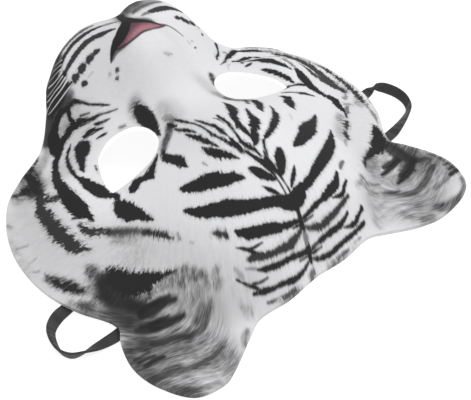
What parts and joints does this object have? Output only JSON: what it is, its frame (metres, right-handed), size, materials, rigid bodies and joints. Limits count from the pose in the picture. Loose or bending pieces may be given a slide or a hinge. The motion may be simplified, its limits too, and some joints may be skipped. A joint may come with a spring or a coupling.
{
  "type": "foam tiger half mask",
  "caption": "Half mask of formed foam in the shape of a white tiger's face with ears, cut eye holes and a flat elastic strap.",
  "frame": {"origin": "middle of the mask's outline at the ground that its rim lies on, face up", "axes": "+X towards the viewer's right of the face, +Y up the face towards the ears, +Z out of the face"},
  "size_m": [0.2343, 0.1904, 0.0671],
  "materials": {
    "printed_foam": "matte fabric printed with fur and stripes, laminated on soft foam",
    "elastic": "matte woven elastic"
  },
  "bodies": {
    "root": {"mask_shell": "printed_foam", "elastic_strap": "elastic"}
  },
  "joints": []
}
